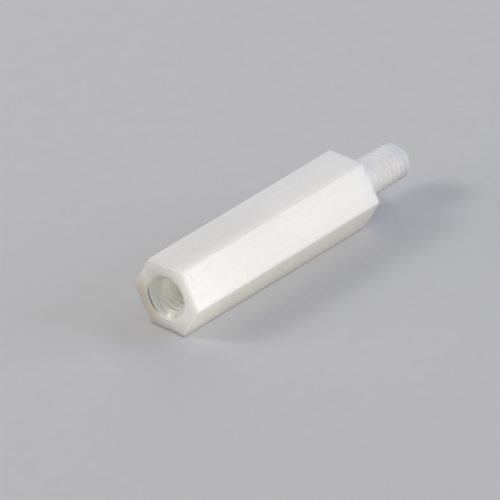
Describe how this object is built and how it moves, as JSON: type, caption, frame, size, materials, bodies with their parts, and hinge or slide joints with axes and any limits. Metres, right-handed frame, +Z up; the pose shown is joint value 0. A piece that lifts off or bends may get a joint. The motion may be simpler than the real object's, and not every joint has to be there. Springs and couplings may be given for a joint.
{
  "type": "hex standoff",
  "caption": "Male-female hexagonal spacer in natural nylon, with a blind threaded hole in one end and a threaded stud with a tapered tip on the other.",
  "frame": {"origin": "on the axis, in the shoulder face that the stud stands on and that seats on a board", "axes": "+X along the axis, out of the body towards the stud's tip; +Z up, square to the flat that is opposite the one it lies on; two of the long edges are at +Y and -Y"},
  "size_m": [0.0258, 0.0064, 0.0054],
  "materials": {
    "nylon": "natural translucent nylon, satin, with faint drag lines along the flats"
  },
  "bodies": {
    "root": {"hex_standoff": "nylon"}
  },
  "joints": []
}
